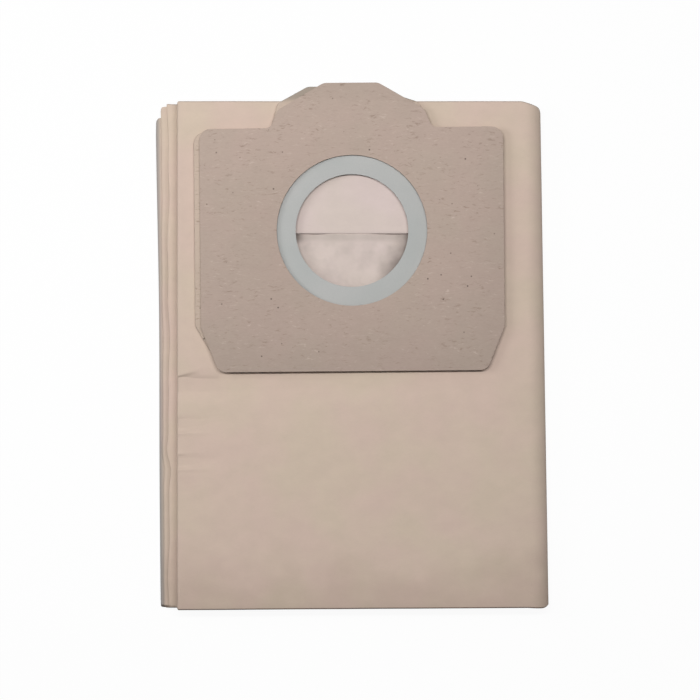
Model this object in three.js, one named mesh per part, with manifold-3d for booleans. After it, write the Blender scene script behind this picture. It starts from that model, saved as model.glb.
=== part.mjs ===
// Paper dust bag of a vacuum cleaner, folded in three as it leaves the packet.
//
// Two plies of paper, one inside the other, make a tube with a pleat along each of its long edges. The tube is
// closed at both ends and folded behind its middle panel: first the short wing, at a sharp crease, then the long
// wing round it, at a soft fold. A collar of two boards with a rubber seal between them is glued over the mouth.
//
// Units are millimetres. X runs along the tube, Y towards the collar's pull tab, and Z out of the collar's face.
// The bag lies on its back. The origin is below the middle of its outline, on the surface that it lies on.

import * as THREE from 'three';
import { mergeVertices } from 'three/addons/utils/BufferGeometryUtils.js';
import Module from 'manifold-3d';

// Paper
const OUTER_PLY = 0.25;
const INNER_PLY = 0.2;
const PLY_GAP = 0.25;
const AIR_GAP = 0.25;
const PLEAT_GAP = 0.25;
const PANEL_GAP = 0.3;

// Flattened tube
const BAG_HEIGHT = 218.4;
const PLEAT_DEPTH = 55.5;
const MIDDLE_PANEL = 158.4;
const SHORT_WING = 138;
const LONG_WING_OVERHANG = 9.4;
const END_STEP = 2.5;
const END_STEP_RISE = 0.6;

// Folds
const CREASE_RADIUS = 0.8;
const SOFT_FOLD_REACH = 9;
const SOFT_FOLD_SLANT = 0.0166;
const WING_END_SLANT = 0.0105;
const TOP_CORNER_DROP = 5;
const LOW_CORNER_RISE = 1.2;

// Collar
const COLLAR_HEIGHT = 104.4;
const COLLAR_TURN = 0.5;
const GLUE_GAP = 0.3;
const CHAMFER_HEIGHT = 19;
const CHAMFER_RADIUS = 4.5;
const SHOULDER_RADIUS = 5;
const TAB_OVERHANG = 7.9;
const TAB_TOP_RADIUS = 5;
const TAB_BEND_RADIUS = 4;
const TAB_FOOT_RADIUS = 3.5;

// Collar boards. Each pair is what the outline measures to the left and to the right of the mouth's centre.
const FRONT_BOARD = {
  thickness: 1.4,
  trim: 0,
  sides: [65.1, 65.1],
  feet: [57.5, 57.5],
  tabFeet: [34.7, 34.7],
  tabBends: [31.5, 31.5],
  tabTops: [11.7, 11.7],
  tabBendHeight: 7.8,
  tabHeight: 19.3,
};
const BACKING_BOARD = {
  thickness: 1.5,
  trim: 1.2,
  sides: [67.7, 62.5],
  feet: [57, 55],
  tabFeet: [35, 33.5],
  tabBends: [31.5, 29.3],
  tabTops: [18.6, 8],
  tabBendHeight: 11,
  tabHeight: 18,
};

// Mouth and seal
const MOUTH_FROM_CREASE = 75;
const MOUTH_BELOW_SHOULDER = 44;
const MOUTH_DIAMETER = 56;
const WINDOW_DIAMETER = 64.6;
const SEAL_HOLE_DIAMETER = 48.4;
const SEAL_DIAMETER = 82;
const SEAL_THICKNESS = 0.6;
const SEAL_CLEARANCE = 0.3;

// Smoothness of the curves
const FOLD_STEPS = 4;
const CREASE_STEPS = 3;
const SOFT_FOLD_STEPS = 14;
const CIRCLE_STEPS = 72;
const CORNER_STEPS = 3;

// One wall of the tube is both plies. A panel is four walls: front, the two leaves of a pleat, and back.
const WALL = OUTER_PLY + PLY_GAP + INNER_PLY;
const LEAF_DEPTH = 2 * WALL + AIR_GAP;
const PANEL = 2 * LEAF_DEPTH + PLEAT_GAP;

// Undersides of the folded panels, from the surface that the bag lies on, and the face that carries the collar
const LONG_WING_LEVEL = 0;
const SHORT_WING_LEVEL = LONG_WING_LEVEL + PANEL + PANEL_GAP;
const MIDDLE_LEVEL = SHORT_WING_LEVEL + PANEL + PANEL_GAP;
const FRONT_LEVEL = MIDDLE_LEVEL + PANEL;

const SOFT_FOLD_START = MIDDLE_PANEL - SOFT_FOLD_REACH;
const TOP_EDGE = BAG_HEIGHT / 2;
const SHOULDER_LEVEL = TOP_EDGE + TAB_OVERHANG - FRONT_BOARD.tabHeight;
const MOUTH_LEVEL = SHOULDER_LEVEL - MOUTH_BELOW_SHOULDER;
const SEAL_SEAT = SEAL_THICKNESS + SEAL_CLEARANCE;

const manifold = await Module();
manifold.setup();

function toSolid(geometry) {
  const bare = geometry.clone();
  bare.deleteAttribute('normal');
  bare.deleteAttribute('uv');
  const merged = mergeVertices(bare, 1e-4);
  return new manifold.Manifold(new manifold.Mesh({
    numProp: 3,
    vertProperties: new Float32Array(merged.getAttribute('position').array),
    triVerts: new Uint32Array(merged.getIndex().array),
  }));
}

function toGeometry(solid) {
  const mesh = solid.getMesh();
  const geometry = new THREE.BufferGeometry();
  geometry.setAttribute('position', new THREE.BufferAttribute(mesh.vertProperties, 3));
  geometry.setIndex(new THREE.BufferAttribute(mesh.triVerts, 1));
  geometry.computeVertexNormals();
  return geometry;
}

function foldArc(centreY, centreDepth, radius, fromDegrees, toDegrees) {
  const points = [];
  for (let step = 0; step <= FOLD_STEPS; step += 1) {
    const angle = THREE.MathUtils.degToRad(THREE.MathUtils.lerp(fromDegrees, toDegrees, step / FOLD_STEPS));
    points.push({ y: centreY + radius * Math.cos(angle), depth: centreDepth + radius * Math.sin(angle) });
  }
  return points;
}

// Section across the flattened tube: a closed loop of points that runs round one face of a ply.
// Inset is how far that face lies inside the bag's outer face. Depth is measured in from the front wall.
function tubeSection(inset) {
  const edgeRadius = LEAF_DEPTH / 2;
  const edgeY = TOP_EDGE - edgeRadius;
  const pleatY = TOP_EDGE - PLEAT_DEPTH;
  const radius = edgeRadius - inset;
  const pleatRadius = PLEAT_GAP / 2 + inset;
  const backDepth = PANEL - edgeRadius;
  return [
    ...foldArc(edgeY, edgeRadius, radius, -90, 90),
    ...foldArc(pleatY, PANEL / 2, pleatRadius, 270, 90),
    ...foldArc(edgeY, backDepth, radius, -90, 90),
    ...foldArc(-edgeY, backDepth, radius, 90, 270),
    ...foldArc(-pleatY, PANEL / 2, pleatRadius, 90, -90),
    ...foldArc(-edgeY, edgeRadius, radius, 90, 270),
  ];
}

// The sharp crease turns two corners. Their radius gets smaller with depth, down to what the fold leaves.
function creaseRadius(depth) {
  return Math.max(CREASE_RADIUS - depth, PANEL_GAP / 3);
}

function lowCreasePoint(turn, depth) {
  const radius = creaseRadius(depth);
  return {
    x: depth + radius * (1 - Math.sin(turn)),
    z: SHORT_WING_LEVEL + depth + radius * (1 - Math.cos(turn)),
  };
}

function highCreasePoint(turn, depth) {
  const radius = creaseRadius(depth);
  return {
    x: depth + radius * (1 - Math.cos(turn)),
    z: FRONT_LEVEL - depth - radius * (1 - Math.sin(turn)),
  };
}

// The soft fold is half an ellipse at each depth, wide enough to pass round the short wing.
function softFoldPoint(turn, depth) {
  const reach = SOFT_FOLD_REACH - depth;
  const halfHeight = (FRONT_LEVEL - LONG_WING_LEVEL) / 2 - depth;
  return {
    x: SOFT_FOLD_START + reach * Math.sin(turn),
    z: (FRONT_LEVEL + LONG_WING_LEVEL) / 2 + halfHeight * Math.cos(turn),
  };
}

// The long wing is closed in three steps: each lies further back than the one below it.
function endSetback(depth) {
  const secondStep = THREE.MathUtils.clamp((depth - OUTER_PLY) / END_STEP_RISE, 0, 1);
  const thirdStep = THREE.MathUtils.clamp((depth - PANEL / 2) / END_STEP_RISE, 0, 1);
  return END_STEP * (secondStep + thirdStep);
}

// Places along the tube, from the short wing's closed end to the long wing's. X is measured from the crease.
// Slant leans a place over as Y grows. Drop and rise pull in the corners of the outer walls at the soft fold.
function tubeStations(inset) {
  const stations = [];
  const place = (point, slant, drop, rise) => stations.push({ point, slant, drop, rise });
  place((depth) => ({ x: SHORT_WING - inset, z: SHORT_WING_LEVEL + depth }), 0, 0, 0);
  for (const creasePoint of [lowCreasePoint, highCreasePoint]) {
    for (let step = 0; step <= CREASE_STEPS; step += 1) {
      const turn = (step / CREASE_STEPS) * Math.PI / 2;
      place((depth) => creasePoint(turn, depth), 0, 0, 0);
    }
  }
  for (let step = 0; step <= SOFT_FOLD_STEPS; step += 1) {
    const turn = (step / SOFT_FOLD_STEPS) * Math.PI;
    const drop = TOP_CORNER_DROP * (1 - Math.max(Math.cos(turn), 0));
    const rise = LOW_CORNER_RISE * (1 - Math.abs(Math.cos(turn)));
    place((depth) => softFoldPoint(turn, depth), SOFT_FOLD_SLANT, drop, rise);
  }
  const endInset = inset * Math.hypot(1, END_STEP / END_STEP_RISE);
  place((depth) => ({
    x: endInset - LONG_WING_OVERHANG + endSetback(depth),
    z: LONG_WING_LEVEL + depth,
  }), WING_END_SLANT, TOP_CORNER_DROP, 0);
  return stations;
}

// Triangles that close one end of the tube. They run in strips from fold to fold across the section, so that
// each depth keeps its own place along the tube.
function endFaces(count) {
  const perFold = count / 6;
  const last = count / 2 - 1;
  const faces = [];
  let from = 0;
  while (from < last) {
    const atPleat = from === perFold - 2 || from === 2 * perFold - 1;
    const to = from + (atPleat ? 2 : 1);
    const strip = [];
    for (let index = from; index <= to; index += 1) {
      strip.push(index);
    }
    for (let index = to; index >= from; index -= 1) {
      strip.push(count - 1 - index);
    }
    const apex = from < last / 2 ? 0 : to - from;
    for (let step = 1; step < strip.length - 1; step += 1) {
      const second = strip[(apex + step) % strip.length];
      const third = strip[(apex + step + 1) % strip.length];
      faces.push([strip[apex], second, third]);
    }
    from = to;
  }
  return faces;
}

// The solid inside one face of a ply: the section carried along the stations, with both ends closed.
function tubeSolid(inset) {
  const section = tubeSection(inset);
  const stations = tubeStations(inset);
  const edgeZone = TOP_EDGE - LEAF_DEPTH;
  const positions = [];
  for (const station of stations) {
    for (const corner of section) {
      const pull = (1 - corner.depth / PANEL) ** 2;
      const atTop = corner.y > edgeZone ? station.drop * pull : 0;
      const atFoot = corner.y < -edgeZone ? station.rise * pull : 0;
      const y = corner.y - atTop + atFoot;
      const spot = station.point(corner.depth);
      positions.push(spot.x - station.slant * y, y, spot.z);
    }
  }
  const count = section.length;
  const faces = [];
  for (let row = 0; row < stations.length - 1; row += 1) {
    for (let column = 0; column < count; column += 1) {
      const here = row * count + column;
      const beside = row * count + (column + 1) % count;
      faces.push(here, here + count, beside, beside, here + count, beside + count);
    }
  }
  const lastRow = (stations.length - 1) * count;
  for (const [a, b, c] of endFaces(count)) {
    faces.push(a, b, c, lastRow + a, lastRow + c, lastRow + b);
  }
  const geometry = new THREE.BufferGeometry();
  geometry.setAttribute('position', new THREE.Float32BufferAttribute(positions, 3));
  geometry.setIndex(faces);
  return toSolid(geometry);
}

function disc(diameter, thickness) {
  const geometry = new THREE.CylinderGeometry(diameter / 2, diameter / 2, thickness, CIRCLE_STEPS);
  geometry.rotateX(Math.PI / 2);
  geometry.translate(0, 0, thickness / 2);
  return toSolid(geometry);
}

// One ply: a folded sheet between two faces of the tube, with the mouth cut through its front wall only.
function plyGeometry(outerFace, innerFace) {
  const punchDepth = WALL + AIR_GAP / 2;
  const punch = disc(MOUTH_DIAMETER, punchDepth + PLY_GAP)
    .translate([MOUTH_FROM_CREASE, MOUTH_LEVEL, FRONT_LEVEL - punchDepth]);
  return toGeometry(tubeSolid(outerFace).subtract(tubeSolid(innerFace)).subtract(punch));
}

// Closed outline through corners given as [x, y, radius], each rounded with its own radius.
function roundedOutline(corners) {
  const outline = new THREE.Shape();
  corners.forEach(([x, y, radius], index) => {
    const corner = new THREE.Vector2(x, y);
    const [previousX, previousY] = corners.at(index - 1);
    const [nextX, nextY] = corners[(index + 1) % corners.length];
    const back = new THREE.Vector2(previousX, previousY).sub(corner).normalize();
    const ahead = new THREE.Vector2(nextX, nextY).sub(corner).normalize();
    const halfAngle = Math.acos(back.dot(ahead)) / 2;
    const middle = back.clone().add(ahead).normalize();
    const centre = corner.clone().addScaledVector(middle, radius / Math.sin(halfAngle));
    const start = corner.clone().addScaledVector(back, radius / Math.tan(halfAngle));
    const end = corner.clone().addScaledVector(ahead, radius / Math.tan(halfAngle));
    const clockwise = back.cross(ahead) > 0;
    outline.absarc(centre.x, centre.y, radius, start.sub(centre).angle(), end.sub(centre).angle(), clockwise);
  });
  outline.closePath();
  return outline;
}

// A collar board with its hole, drawn round the centre of the mouth.
function boardSolid(board, holeDiameter) {
  const shoulder = MOUTH_BELOW_SHOULDER - board.trim;
  const foot = MOUTH_BELOW_SHOULDER - COLLAR_HEIGHT + board.trim;
  const chamferTop = MOUTH_BELOW_SHOULDER - COLLAR_HEIGHT + CHAMFER_HEIGHT + board.trim;
  const tabBend = MOUTH_BELOW_SHOULDER + board.tabBendHeight;
  const tabTop = MOUTH_BELOW_SHOULDER + board.tabHeight;
  const fromFootToTab = [
    [board.feet, foot, CHAMFER_RADIUS],
    [board.sides, chamferTop, CHAMFER_RADIUS],
    [board.sides, shoulder, SHOULDER_RADIUS],
    [board.tabFeet, shoulder, TAB_FOOT_RADIUS],
    [board.tabBends, tabBend, TAB_BEND_RADIUS],
    [board.tabTops, tabTop, TAB_TOP_RADIUS],
  ];
  const rightHalf = fromFootToTab.map(([widths, y, radius]) => [widths[1], y, radius]);
  const leftHalf = fromFootToTab.map(([widths, y, radius]) => [-widths[0], y, radius]).reverse();
  const extruded = new THREE.ExtrudeGeometry(roundedOutline([...rightHalf, ...leftHalf]), {
    depth: board.thickness,
    bevelEnabled: false,
    curveSegments: CORNER_STEPS,
  });
  const hole = disc(holeDiameter, 3 * board.thickness).translate([0, 0, -board.thickness]);
  return toSolid(extruded).subtract(hole);
}

function frontBoardGeometry() {
  return toGeometry(boardSolid(FRONT_BOARD, WINDOW_DIAMETER));
}

// The backing board holds the seal in a round seat in its face.
function backingBoardGeometry() {
  const seat = disc(SEAL_DIAMETER + 2 * SEAL_CLEARANCE, BACKING_BOARD.thickness)
    .translate([0, 0, BACKING_BOARD.thickness - SEAL_SEAT]);
  return toGeometry(boardSolid(BACKING_BOARD, MOUTH_DIAMETER).subtract(seat));
}

function sealGeometry() {
  const hole = disc(SEAL_HOLE_DIAMETER, 3 * SEAL_THICKNESS).translate([0, 0, -SEAL_THICKNESS]);
  return toGeometry(disc(SEAL_DIAMETER, SEAL_THICKNESS).subtract(hole));
}

function piece(name, geometry, color, roughness) {
  const material = new THREE.MeshStandardMaterial({ color, roughness, metalness: 0 });
  const mesh = new THREE.Mesh(geometry, material);
  mesh.name = name;
  return mesh;
}

function makeTube() {
  const tube = new THREE.Group();
  const innerFace = OUTER_PLY + PLY_GAP;
  tube.add(piece('outer_paper', plyGeometry(0, OUTER_PLY), '#c4b1a3', 0.85));
  tube.add(piece('inner_paper', plyGeometry(innerFace, WALL), '#d1c2bc', 0.9));
  return tube;
}

function makeCollar() {
  const collar = new THREE.Group();
  const backing = piece('backing_board', backingBoardGeometry(), '#a39587', 0.9);
  const seal = piece('seal_membrane', sealGeometry(), '#b4b4b2', 0.6);
  const front = piece('front_board', frontBoardGeometry(), '#b2a297', 0.9);
  seal.position.z = BACKING_BOARD.thickness - SEAL_THICKNESS;
  front.position.z = BACKING_BOARD.thickness + SEAL_CLEARANCE;
  collar.add(backing, seal, front);
  collar.rotation.z = THREE.MathUtils.degToRad(COLLAR_TURN);
  collar.position.set(MOUTH_FROM_CREASE, MOUTH_LEVEL, FRONT_LEVEL + GLUE_GAP);
  return collar;
}

const dustBag = new THREE.Group();
dustBag.add(makeTube(), makeCollar());
const outlineCentre = new THREE.Box3().setFromObject(dustBag, true).getCenter(new THREE.Vector3());
dustBag.position.set(-outlineCentre.x, -outlineCentre.y, 0);

export default dustBag;
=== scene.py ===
"""A folded paper dust bag, dressed piece by piece around its frame. All sizes are in metres."""
import math

import bmesh
import bpy
import numpy as np
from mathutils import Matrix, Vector


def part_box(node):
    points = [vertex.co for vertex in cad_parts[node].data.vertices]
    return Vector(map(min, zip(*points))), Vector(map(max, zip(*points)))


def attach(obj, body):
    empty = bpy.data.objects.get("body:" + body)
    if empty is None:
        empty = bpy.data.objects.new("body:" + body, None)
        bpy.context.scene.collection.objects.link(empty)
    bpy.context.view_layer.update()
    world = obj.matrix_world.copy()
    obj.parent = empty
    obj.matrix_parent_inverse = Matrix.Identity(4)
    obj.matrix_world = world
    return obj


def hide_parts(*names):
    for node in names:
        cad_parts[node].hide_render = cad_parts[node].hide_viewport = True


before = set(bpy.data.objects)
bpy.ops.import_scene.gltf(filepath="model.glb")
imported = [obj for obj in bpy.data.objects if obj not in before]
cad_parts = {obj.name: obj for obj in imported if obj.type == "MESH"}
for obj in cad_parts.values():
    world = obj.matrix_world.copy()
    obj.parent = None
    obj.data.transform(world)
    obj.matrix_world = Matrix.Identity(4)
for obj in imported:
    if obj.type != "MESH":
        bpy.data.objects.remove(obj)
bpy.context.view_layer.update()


# Inner ply of the bag
# Soft, pale filter paper. With the outer ply round it, it makes a tube that is pleated along both long edges
# and pasted shut at both ends. The tube is folded in three behind its middle panel.

MM = 0.001
OUTER_PLY = 0.25 * MM
INNER_PLY = 0.2 * MM
PLY_GAP = 0.25 * MM
AIR_GAP = 0.25 * MM
PLEAT_GAP = 0.25 * MM
PANEL_GAP = 0.3 * MM
PLEAT_DEPTH = 56 * MM
WALL = OUTER_PLY + PLY_GAP + INNER_PLY
LEAF = 2 * WALL + AIR_GAP
PANEL = 2 * LEAF + PLEAT_GAP

MIDDLE_PANEL = 159 * MM
SHORT_WING = 136 * MM
LONG_WING_OVERHANG = 9.4 * MM

# The long wing's end: its layers step back from the lowest one, and each layer's edge is pressed round
END_PASTE = 6
TOP_LAYER_BACK = 5.05 * MM
TOP_LAYER_LEAN = 0.009
TOP_LAYER_ROUND = 1.1 * MM
LOW_LAYER_TOP = OUTER_PLY + 0.5 * MM
MIDDLE_LAYER_TOP = PANEL / 2 + 0.9 * MM
TOP_LAYER_START = PANEL - 0.75 * MM
END_RISES = (
    (OUTER_PLY, LOW_LAYER_TOP), (PANEL / 2, MIDDLE_LAYER_TOP), (TOP_LAYER_START, PANEL - 0.05 * MM))
# How much less each higher layer is drawn down at the top corner, and the depths between which that changes
END_DROPS = ((0.8, (LOW_LAYER_TOP, LOW_LAYER_TOP + 0.15 * MM)), (0.2, (MIDDLE_LAYER_TOP, TOP_LAYER_START)))
END_ROUND_LOSS = 0.45
END_TOP_ROUND = (2.8 * MM, 1.7 * MM)
END_LOW_ROUND = (1.4 * MM, 0.8 * MM)
END_BEND = 0.65 * MM
END_BEND_LEAST = 0.35 * MM
END_BEND_PLACE = 19 * MM
END_BEND_SPREAD = 55 * MM
END_WAVE = 0.16 * MM
END_WAVE_SIZE = 11 * MM
END_RIPPLE_SIZE = 4.7 * MM
END_KINK_SIZE = 2.9 * MM
END_KINK_PLACE = -45 * MM
END_KINK_SPREAD = 14 * MM

# The two folds that bring the wings behind the middle panel, and the corners beside them
CREASE_REACH = 0.9 * MM
CREASE_TURN = 8 * MM
SOFT_REACH = 7.5 * MM
SOFT_TURN = 21 * MM
TIGHTEST_REACH = 0.1 * MM
SOFT_LEAN = 0.0166
WING_END_LEAN = 0.0105
TOP_CORNER_START = 10.3 * MM
TOP_CORNER_SLOPE = 0.27
TOP_CORNER_ROUND = (2.6 * MM, 3.2 * MM)
LOW_CORNER_SWELL = 0.45 * MM
LOW_CORNER_ROUND = (1.6 * MM, 0.9 * MM)
CORNER_ZONE = 16 * MM
TOP_SPREAD = 0.5 * MM
LOW_LEFT_SPREAD = 0.45 * MM
LOW_RIGHT_SPREAD = -0.6 * MM
FOLD_STEPS = 8

MOUTH_FROM_CREASE = 75.6 * MM
MOUTH_RADIUS = 28 * MM

bag_low, bag_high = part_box("outer_paper")
seal_low, seal_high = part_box("seal_membrane")
face_level = bag_high.z
top_edge = (bag_high.y - bag_low.y) / 2
bag_middle_y = (bag_high.y + bag_low.y) / 2
mouth = (seal_low + seal_high) / 2
crease_x = mouth.x - MOUTH_FROM_CREASE
soft_start = MIDDLE_PANEL - SOFT_REACH
long_wing_start = soft_start + SOFT_TURN
long_wing_end = long_wing_start + soft_start + LONG_WING_OVERHANG
short_wing_end = -CREASE_TURN - SHORT_WING


def fold_arc(centre_y, centre_depth, radius, start, end):
    """Points (y, depth) round one fold of the section."""
    angles = np.radians(np.linspace(start, end, FOLD_STEPS + 1))
    return [(centre_y + radius * math.cos(a), centre_depth + radius * math.sin(a)) for a in angles]


def section_outline(inset):
    """The pleated tube's section, cut across, for a face that lies inset inside the bag's outer face."""
    edge = top_edge - LEAF / 2
    pleat = top_edge - PLEAT_DEPTH
    radius = LEAF / 2 - inset
    pleat_radius = PLEAT_GAP / 2 + inset
    far = PANEL - LEAF / 2
    return [
        *fold_arc(edge, LEAF / 2, radius, -90, 90),
        *fold_arc(pleat, PANEL / 2, pleat_radius, 270, 90),
        *fold_arc(edge, far, radius, -90, 90),
        *fold_arc(-edge, far, radius, 90, 270),
        *fold_arc(-pleat, PANEL / 2, pleat_radius, 90, -90),
        *fold_arc(-edge, LEAF / 2, radius, 90, 270),
    ]


def ease(value, low, high):
    """0 up to low, 1 from high on and a soft change between them."""
    share = np.clip((value - low) / (high - low), 0, 1)
    return share ** 2 * (3 - 2 * share)


def rounded(distance, width, height):
    """How far a rounded corner draws in, by the distance to the edge beside it."""
    share = np.clip(1 - distance / width, 0, 1)
    return height * (1 - np.sqrt(1 - share ** 2))


def end_setback(depth, y):
    """How far each depth of the long wing's end lies back from the longest layer."""
    kinks = np.exp(-((y - END_KINK_PLACE) / END_KINK_SPREAD) ** 2)
    wave = np.sin(y / END_WAVE_SIZE + 1) + 0.7 * np.sin(y / END_RIPPLE_SIZE)
    wave = END_WAVE * (wave + 2 * kinks * np.sin(y / END_KINK_SIZE))
    half_way = (TOP_LAYER_BACK + TOP_LAYER_LEAN * y) / 2
    bend = END_BEND_LEAST + END_BEND * np.exp(-((y - END_BEND_PLACE) / END_BEND_SPREAD) ** 2)
    corner = rounded(top_edge - y, *END_TOP_ROUND) + rounded(top_edge + y, *END_LOW_ROUND)
    back = bend + corner * (1 - sum(END_ROUND_LOSS * ease(depth, *layer) for _, layer in END_DROPS))
    for (start, end), step in zip(END_RISES, (half_way - bend + wave, half_way + wave, TOP_LAYER_ROUND)):
        share = np.clip((depth - start) / (end - start), 0, 1)
        back = back + step * (1 - np.sqrt(1 - share ** 2))
    return back


def shape_flat_tube(points, inset):
    """Steps the long wing's end, leans the wing, and rounds the corners at the soft fold."""
    x, y, depth = points[:, 0].copy(), points[:, 1].copy(), face_level - points[:, 2]
    at_end = x > long_wing_end - MM / 100
    x[at_end] += -END_PASTE * inset - end_setback(depth[at_end], y[at_end])
    x[x < short_wing_end + MM / 100] += END_PASTE * inset
    past_fold = np.clip((x - long_wing_start) / (long_wing_end - long_wing_start), 0, 1)
    turned = np.clip((x - soft_start) / SOFT_TURN, 0, 1)
    to_fold = SOFT_REACH * (1 - np.sin(np.pi * np.minimum(turned, 0.5))) + np.maximum(soft_start - x, 0)
    drop = TOP_CORNER_SLOPE * np.maximum(TOP_CORNER_START - to_fold, 0) + rounded(to_fold, *TOP_CORNER_ROUND)
    rise = (rounded(to_fold, *LOW_CORNER_ROUND) - LOW_CORNER_SWELL) * np.sin(np.pi * turned)
    near_edge = ease(np.abs(y), top_edge - CORNER_ZONE, top_edge - LEAF)
    at_fold = 1 - 0.25 * ease(depth, 0.3 * PANEL, PANEL)
    at_wing_end = 1 - sum(share * ease(depth, *layer) for share, layer in END_DROPS)
    share = near_edge * (at_fold + (at_wing_end - at_fold) * past_fold)
    from_crease = 1 - np.clip(np.abs(np.abs(x) - MIDDLE_PANEL) / MIDDLE_PANEL, 0, 1)
    low_spread = LOW_LEFT_SPREAD + (LOW_RIGHT_SPREAD - LOW_LEFT_SPREAD) * from_crease
    spread = np.where(y > 0, TOP_SPREAD, low_spread) * y / top_edge
    points[:, 0] = x + (WING_END_LEAN - 2 * SOFT_LEAN) * y * past_fold
    points[:, 1] = y - np.where(y > 0, drop, -rise) * share + spread
    return points


def steps(*stretches):
    """Rising places over stretches of (low, high, step)."""
    places = set()
    for low, high, step in stretches:
        places.update(np.round(np.linspace(low, high, max(2, round((high - low) / step) + 1)), 6))
    return sorted(places)


def plane_cuts(along, across):
    """Planes across the tube's length and its width, each as a place and a normal."""
    return [((x, 0, 0), (1, 0, 0)) for x in along] + [((0, y, 0), (0, 1, 0)) for y in across]


def cut_patch(shell, low, high, along, across):
    """Cuts the faces inside a box more finely."""
    faces = []
    for face in shell.faces:
        centre = face.calc_center_median()
        if all(low[i] < centre[i] < high[i] for i in range(3)):
            faces.append(face)
    for place, normal in plane_cuts(along, across):
        edges = {edge for face in faces for edge in face.edges}
        corners = {corner for face in faces for corner in face.verts}
        result = bmesh.ops.bisect_plane(
            shell, geom=[*faces, *edges, *corners], plane_co=place, plane_no=normal, dist=1e-7)
        faces = [part for part in result["geom"] if isinstance(part, bmesh.types.BMFace)]


def flat_shell(inset, along, across, patches=()):
    """One closed face of a ply while the tube still lies flat, cut into a grid, with finer patches."""
    shell = bmesh.new()
    ring = [shell.verts.new((short_wing_end, y, face_level - depth)) for y, depth in section_outline(inset)]
    side = shell.faces.new(ring)
    pulled = bmesh.ops.extrude_face_region(shell, geom=[side], use_keep_orig=True)["geom"]
    moved = [v for v in pulled if isinstance(v, bmesh.types.BMVert)]
    bmesh.ops.translate(shell, verts=moved, vec=(long_wing_end - short_wing_end, 0, 0))
    turns = np.radians([0, 20, 40, 60, 75, 90])
    depths = [start + (end - start) * math.sin(turn) for start, end in END_RISES for turn in turns]
    depths += [depth for _, layer in END_DROPS for depth in layer]
    cuts = [((0, 0, face_level - depth), (0, 0, 1)) for depth in depths] + plane_cuts(along, across)
    for place, normal in cuts:
        everything = shell.verts[:] + shell.edges[:] + shell.faces[:]
        bmesh.ops.bisect_plane(shell, geom=everything, plane_co=place, plane_no=normal, dist=1e-7)
    for patch in patches:
        cut_patch(shell, *patch)
    bmesh.ops.recalc_face_normals(shell, faces=shell.faces)
    mesh = bpy.data.meshes.new("flat_shell")
    shell.to_mesh(mesh)
    shell.free()
    points = np.empty(len(mesh.vertices) * 3, np.float32)
    mesh.vertices.foreach_get("co", points)
    mesh.vertices.foreach_set("co", shape_flat_tube(points.reshape(-1, 3).astype(float), inset).ravel())
    return mesh


def flat_ply(name, outer_face, inner_face, outer_grid, inner_grid):
    """A ply of the flat tube: its closed outer face, and its closed inner face turned round."""
    both = bmesh.new()
    both.from_mesh(flat_shell(inner_face, *inner_grid))
    bmesh.ops.reverse_faces(both, faces=both.faces)
    both.from_mesh(flat_shell(outer_face, *outer_grid))
    mesh = bpy.data.meshes.new(name)
    both.to_mesh(mesh)
    both.free()
    ply = bpy.data.objects.new(name, mesh)
    bpy.context.collection.objects.link(ply)
    return ply


def add_node(tree, kind, values=None, node_tree=None, **settings):
    """Adds a node with its settings. Values go to its inputs, and a socket among them is linked."""
    node = tree.nodes.new(kind)
    if node_tree:
        node.node_tree = node_tree
    for setting, value in settings.items():
        setattr(node, setting, value)
    for place, value in (values or {}).items():
        if isinstance(value, bpy.types.NodeSocket):
            tree.links.new(value, node.inputs[place])
        else:
            node.inputs[place].default_value = value
    return node


def calc(tree, operation, *values, clamp=False):
    """A math node's result."""
    node = add_node(tree, "ShaderNodeMath", dict(enumerate(values)), operation=operation, use_clamp=clamp)
    return node.outputs[0]


def put_group(tree, group, values):
    """A node group put into another tree with its own values; its outputs."""
    kind = "GeometryNodeGroup" if tree.bl_idname == "GeometryNodeTree" else "ShaderNodeGroup"
    return add_node(tree, kind, values, node_tree=group).outputs


def new_tree(name, kind, inputs, outputs):
    """A node group with named sockets, given as {name: socket type}, and its two end nodes."""
    tree = bpy.data.node_groups.new(name, kind)
    for label, socket in inputs.items():
        tree.interface.new_socket(label, in_out="INPUT", socket_type=socket)
    for label, socket in outputs.items():
        tree.interface.new_socket(label, in_out="OUTPUT", socket_type=socket)
    given = tree.nodes.new("NodeGroupInput")
    result = tree.nodes.new("NodeGroupOutput")
    return tree, given, result


FLOAT, VECTOR, GEOMETRY = "NodeSocketFloat", "NodeSocketVector", "NodeSocketGeometry"
MATERIAL = "NodeSocketMaterial"


def stretch(tree, value, low, high, new_low=0.0, new_high=1.0):
    """A value's range stretched onto another."""
    values = {"Value": value, "From Min": low, "From Max": high, "To Min": new_low, "To Max": new_high}
    return add_node(tree, "ShaderNodeMapRange", values).outputs[0]


def smooth_step(tree, value, low, high):
    """0 at low, 1 at high and a soft change between them."""
    values = {"Value": value, "From Min": low, "From Max": high}
    return add_node(tree, "ShaderNodeMapRange", values, interpolation_type="SMOOTHSTEP").outputs[0]


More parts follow.
